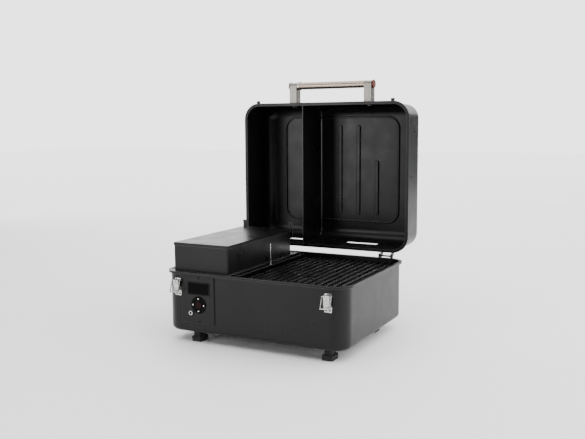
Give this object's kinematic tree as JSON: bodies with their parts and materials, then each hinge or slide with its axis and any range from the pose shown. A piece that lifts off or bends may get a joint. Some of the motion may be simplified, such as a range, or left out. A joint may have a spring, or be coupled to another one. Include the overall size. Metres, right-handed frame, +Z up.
{
  "type": "pellet smoker grill",
  "caption": "Portable pellet smoker grill with an open deep lid, a covered pellet hopper and control panel, draw latches, cast grate, auger, fire pot and fan.",
  "frame": {"origin": "on the ground under the middle of the whole open grill", "axes": "+Z up, +Y towards the back, +X towards the right as seen from the front"},
  "size_m": [0.533, 0.5922, 0.7007],
  "materials": {
    "black_enamel": "fine textured satin enamel",
    "inner_black": "satin enamel",
    "hinge_black": "satin black",
    "pin_steel": "zinc plated",
    "brushed_posts": "brushed",
    "bar_steel": "brushed",
    "collar_steel": "satin",
    "cap_copper": "satin",
    "latch_chrome": "polished",
    "bail_wire": "polished",
    "foot_rubber": "matte",
    "panel_black": "fine matte",
    "window_glass": "gloss",
    "bezel_grey": "satin",
    "dial_plastic": "satin",
    "key_black": "matte",
    "key_red": "satin",
    "socket_metal": "polished",
    "board_green": "solder mask",
    "sheet_steel": "galvanised",
    "heat_steel": "heat tinted",
    "auger_steel": "worn",
    "motor_metal": "plated",
    "igniter_steel": "satin",
    "tray_steel": "enamel",
    "grate_iron": "porcelain enamel",
    "probe_steel": "polished",
    "fan_plastic": "moulded",
    "inlet_plastic": "moulded"
  },
  "bodies": {
    "tub": {"body_tub": "black_enamel", "hopper_housing": "black_enamel", "inner_partition": "inner_black", "compartment_deck": "inner_black", "hopper_stops": "inner_black", "hinge_bracket_left": "hinge_black", "hinge_bracket_right": "hinge_black", "hopper_hinge": "hinge_black", "hinge_pins": "pin_steel", "hopper_pins": "pin_steel", "panel_screws": "pin_steel", "latch_screws": "pin_steel", "latch_base_left": "latch_chrome", "latch_base_right": "latch_chrome", "feet": "foot_rubber", "control_panel": "panel_black", "display_window": "window_glass", "display_bezel": "bezel_grey", "dial_ring": "dial_plastic", "probe_socket": "socket_metal", "controller_board": "board_green", "hopper_funnel": "sheet_steel", "pellet_guard": "sheet_steel", "auger_tube": "sheet_steel", "grate_ledges": "sheet_steel", "fire_pot": "heat_steel", "heat_baffle": "heat_steel", "auger_gearmotor": "motor_metal", "igniter_rod": "igniter_steel", "chamber_probe": "probe_steel", "probe_foot": "probe_steel", "fan_housing": "fan_plastic", "power_inlet": "inlet_plastic", "switch_frame": "inlet_plastic"},
    "lid": {"lid_shell": "black_enamel", "lid_partition": "inner_black", "lid_rivets": "pin_steel", "handle_posts": "brushed_posts", "handle_bar": "bar_steel", "handle_collar": "collar_steel", "handle_caps": "cap_copper", "latch_keepers": "hinge_black", "hinge_leaf_left": "hinge_black", "hinge_leaf_right": "hinge_black"},
    "hopper_cover": {"hopper_lid": "black_enamel"},
    "auger": {"auger_screw": "auger_steel"},
    "impeller": {"fan_impeller": "fan_plastic"},
    "rocker": {"rocker_switch": "inlet_plastic"},
    "cooking_grate": {"grate": "grate_iron"},
    "tray": {"drip_tray": "tray_steel"},
    "lever_left": {"latch_lever_left": "latch_chrome"},
    "bail_left": {"latch_bail_left": "bail_wire"},
    "lever_right": {"latch_lever_right": "latch_chrome"},
    "bail_right": {"latch_bail_right": "bail_wire"},
    "button_centre_key": {"button_centre": "key_red"},
    "button_up_key": {"button_up": "key_black"},
    "button_down_key": {"button_down": "key_black"},
    "button_left_key": {"button_left": "key_black"},
    "button_right_key": {"button_right": "key_black"}
  },
  "joints": [
    {"name": "lid_hinge", "type": "hinge", "parent": "tub", "child": "lid", "pos_m": [0, 0.1631, 0.193], "axis": [-1, 0, 0], "range_deg": [-90, 0]},
    {"name": "hopper_lid_hinge", "type": "hinge", "parent": "tub", "child": "hopper_cover", "pos_m": [-0.155, 0.0964, 0.2605], "axis": [-1, 0, 0], "range_deg": [0, 90]},
    {"name": "latch_lever_left_hinge", "type": "hinge", "parent": "tub", "child": "lever_left", "pos_m": [-0.217, -0.2796, 0.164], "axis": [1, 0, 0], "range_deg": [-75, 0]},
    {"name": "latch_bail_left_hinge", "type": "hinge", "parent": "lever_left", "child": "bail_left", "pos_m": [-0.217, -0.2846, 0.166], "axis": [-1, 0, 0], "range_deg": [0, 165]},
    {"name": "latch_lever_right_hinge", "type": "hinge", "parent": "tub", "child": "lever_right", "pos_m": [0.217, -0.2796, 0.164], "axis": [1, 0, 0], "range_deg": [-75, 0]},
    {"name": "latch_bail_right_hinge", "type": "hinge", "parent": "lever_right", "child": "bail_right", "pos_m": [0.217, -0.2846, 0.166], "axis": [-1, 0, 0], "range_deg": [0, 165]},
    {"name": "button_centre_press", "type": "slide", "parent": "tub", "child": "button_centre_key", "axis": [0, 1, 0], "range_m": [0, 0.001], "stiffness_N_per_m": 400},
    {"name": "button_up_press", "type": "slide", "parent": "tub", "child": "button_up_key", "axis": [0, 1, 0], "range_m": [0, 0.001], "stiffness_N_per_m": 400},
    {"name": "button_down_press", "type": "slide", "parent": "tub", "child": "button_down_key", "axis": [0, 1, 0], "range_m": [0, 0.001], "stiffness_N_per_m": 400},
    {"name": "button_left_press", "type": "slide", "parent": "tub", "child": "button_left_key", "axis": [0, 1, 0], "range_m": [0, 0.001], "stiffness_N_per_m": 400},
    {"name": "button_right_press", "type": "slide", "parent": "tub", "child": "button_right_key", "axis": [0, 1, 0], "range_m": [0, 0.001], "stiffness_N_per_m": 400},
    {"name": "auger_turn", "type": "hinge", "parent": "tub", "child": "auger", "pos_m": [-0.1, -0.0636, 0.08], "axis": [1, 0, 0], "continuous": true},
    {"name": "fan_turn", "type": "hinge", "parent": "tub", "child": "impeller", "pos_m": [-0.172, 0.1324, 0.086], "axis": [0, 1, 0], "continuous": true},
    {"name": "rocker_tilt", "type": "hinge", "parent": "tub", "child": "rocker", "pos_m": [-0.1, 0.1459, 0.126], "axis": [-1, 0, 0], "range_deg": [0, 16]},
    {"name": "grate_lift", "type": "slide", "parent": "tub", "child": "cooking_grate", "axis": [0, 0, 1], "range_m": [0, 0.2]},
    {"name": "tray_lift", "type": "slide", "parent": "tub", "child": "tray", "axis": [0, 0, 1], "range_m": [0, 0.12]}
  ],
  "couplings": [
    {"joint": "tray_lift", "follows": "grate_lift", "ratio": 0.6}
  ]
}
